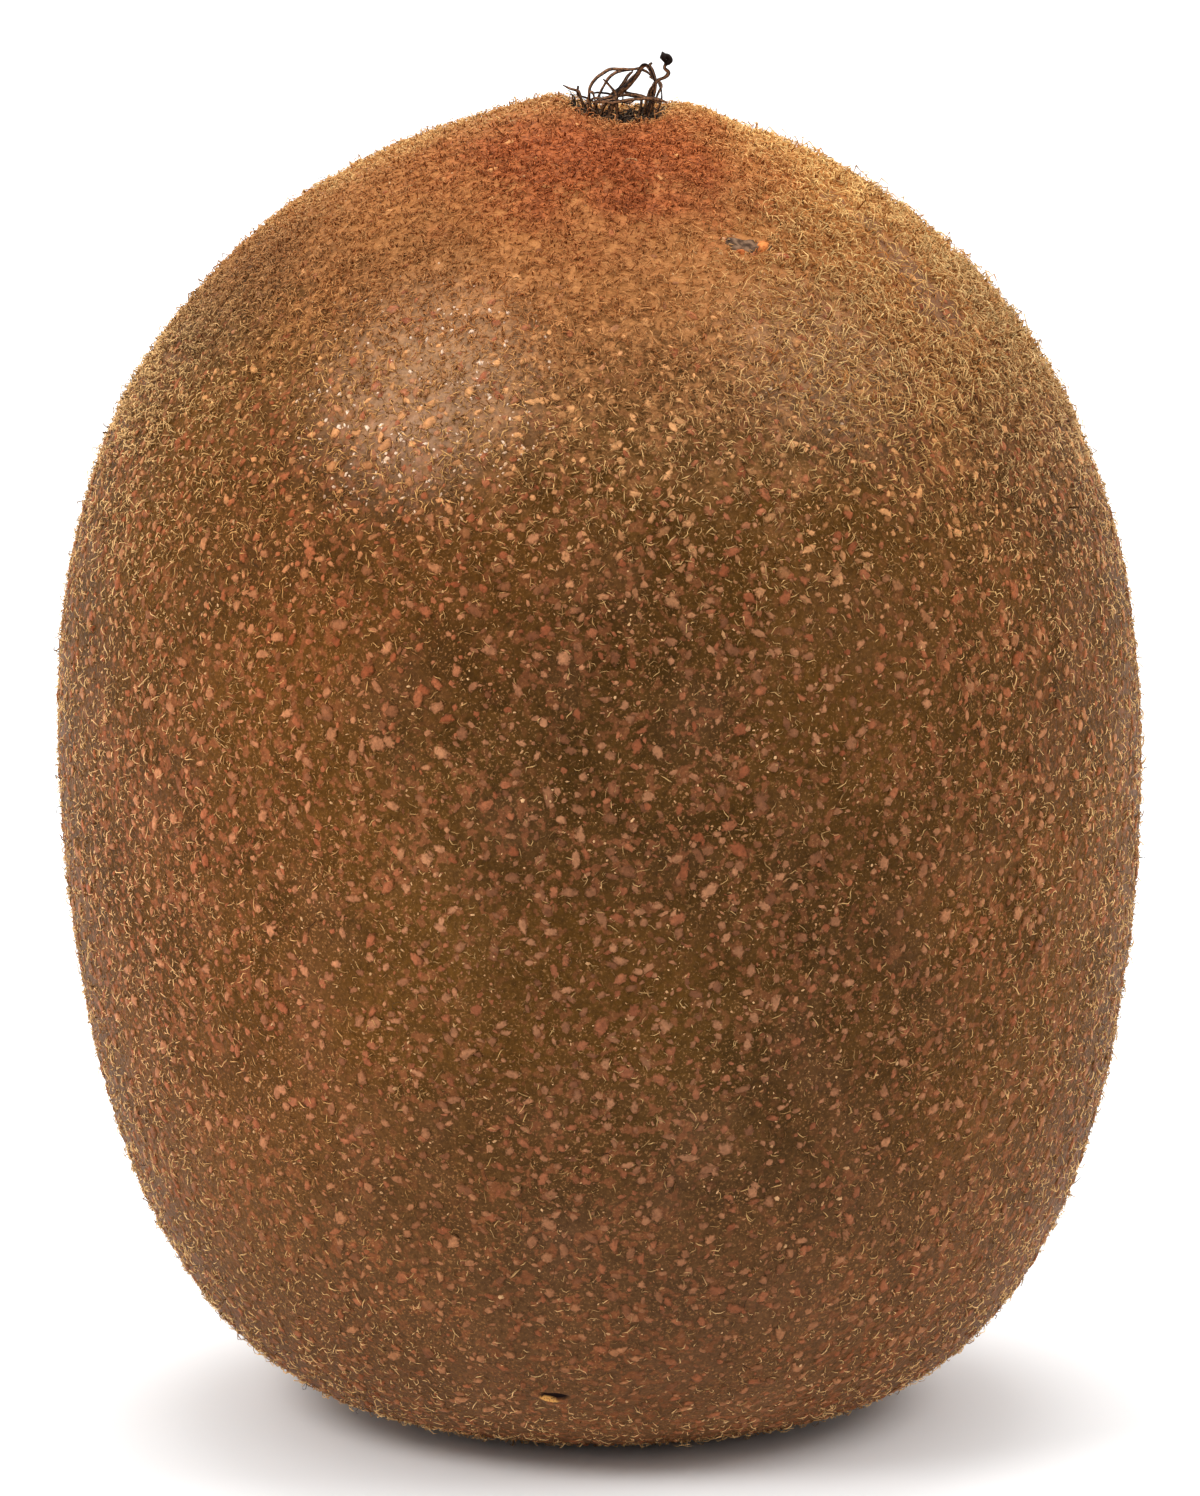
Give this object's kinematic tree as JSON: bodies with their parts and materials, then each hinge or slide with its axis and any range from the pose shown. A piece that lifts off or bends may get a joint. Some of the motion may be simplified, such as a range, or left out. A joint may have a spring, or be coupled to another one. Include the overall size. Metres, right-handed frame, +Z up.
{
  "type": "kiwi fruit",
  "caption": "Whole fuzzy brown kiwi fruit with dried flower styles at its crown, an oval body that stands upright on its small flat stalk end.",
  "frame": {"origin": "on the resting surface, under the middle of the fruit's bounding box", "axes": "+Z up from the stalk end to the flower end, +X to the right seen from the front, -Y to the front"},
  "size_m": [0.0558, 0.053, 0.0702],
  "materials": {
    "skin": "matt brown skin covered with short golden-brown fuzz",
    "dried_style": "dry, dark brown, wiry",
    "dried_tangle": "dry, felted, grey-brown"
  },
  "bodies": {
    "root": {"fruit": "skin", "pit_tangle": "dried_tangle", "style_01": "dried_style", "style_02": "dried_style", "style_03": "dried_style", "style_04": "dried_style", "style_05": "dried_style", "style_06": "dried_style", "style_07": "dried_style", "style_08": "dried_style", "style_09": "dried_style", "style_10": "dried_style", "style_11": "dried_style", "style_12": "dried_style", "style_13": "dried_style", "style_14": "dried_style"}
  },
  "joints": []
}
